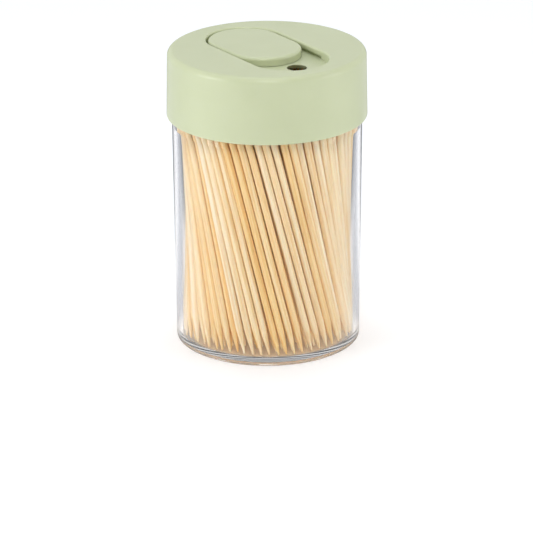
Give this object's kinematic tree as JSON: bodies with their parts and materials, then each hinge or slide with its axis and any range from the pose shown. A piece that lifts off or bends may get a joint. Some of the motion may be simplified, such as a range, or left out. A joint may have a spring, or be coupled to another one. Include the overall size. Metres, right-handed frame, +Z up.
{
  "type": "toothpick dispenser",
  "caption": "Clear round jar of toothpicks with a push-on plastic lid, whose sunken slot holds a sliding shutter over a dispensing hole.",
  "frame": {"origin": "centre of the jar's foot, on the surface it stands on", "axes": "+Z up along the jar's axis; the dispensing hole is on the front half, towards -Y and +X"},
  "size_m": [0.051, 0.051, 0.077],
  "materials": {
    "clear_plastic": "clear, polished moulding",
    "green_plastic": "pale sage green, fine matte moulded surface",
    "toothpick_wood": "plain pale wood, turned and polished smooth"
  },
  "bodies": {
    "jar": {"jar": "clear_plastic", "toothpicks_core": "toothpick_wood", "toothpicks_layer_1": "toothpick_wood", "toothpicks_layer_2": "toothpick_wood", "toothpicks_layer_3": "toothpick_wood", "toothpicks_layer_4": "toothpick_wood", "toothpicks_layer_5": "toothpick_wood"},
    "lid": {"lid": "green_plastic"},
    "shutter": {"shutter": "green_plastic"}
  },
  "joints": [
    {"name": "lid_lift", "type": "slide", "parent": "jar", "child": "lid", "axis": [0, 0, 1], "range_m": [0, 0.05]},
    {"name": "shutter_slide", "type": "slide", "parent": "lid", "child": "shutter", "axis": [0.5534, -0.8329, 0], "range_m": [0, 0.0112]}
  ]
}
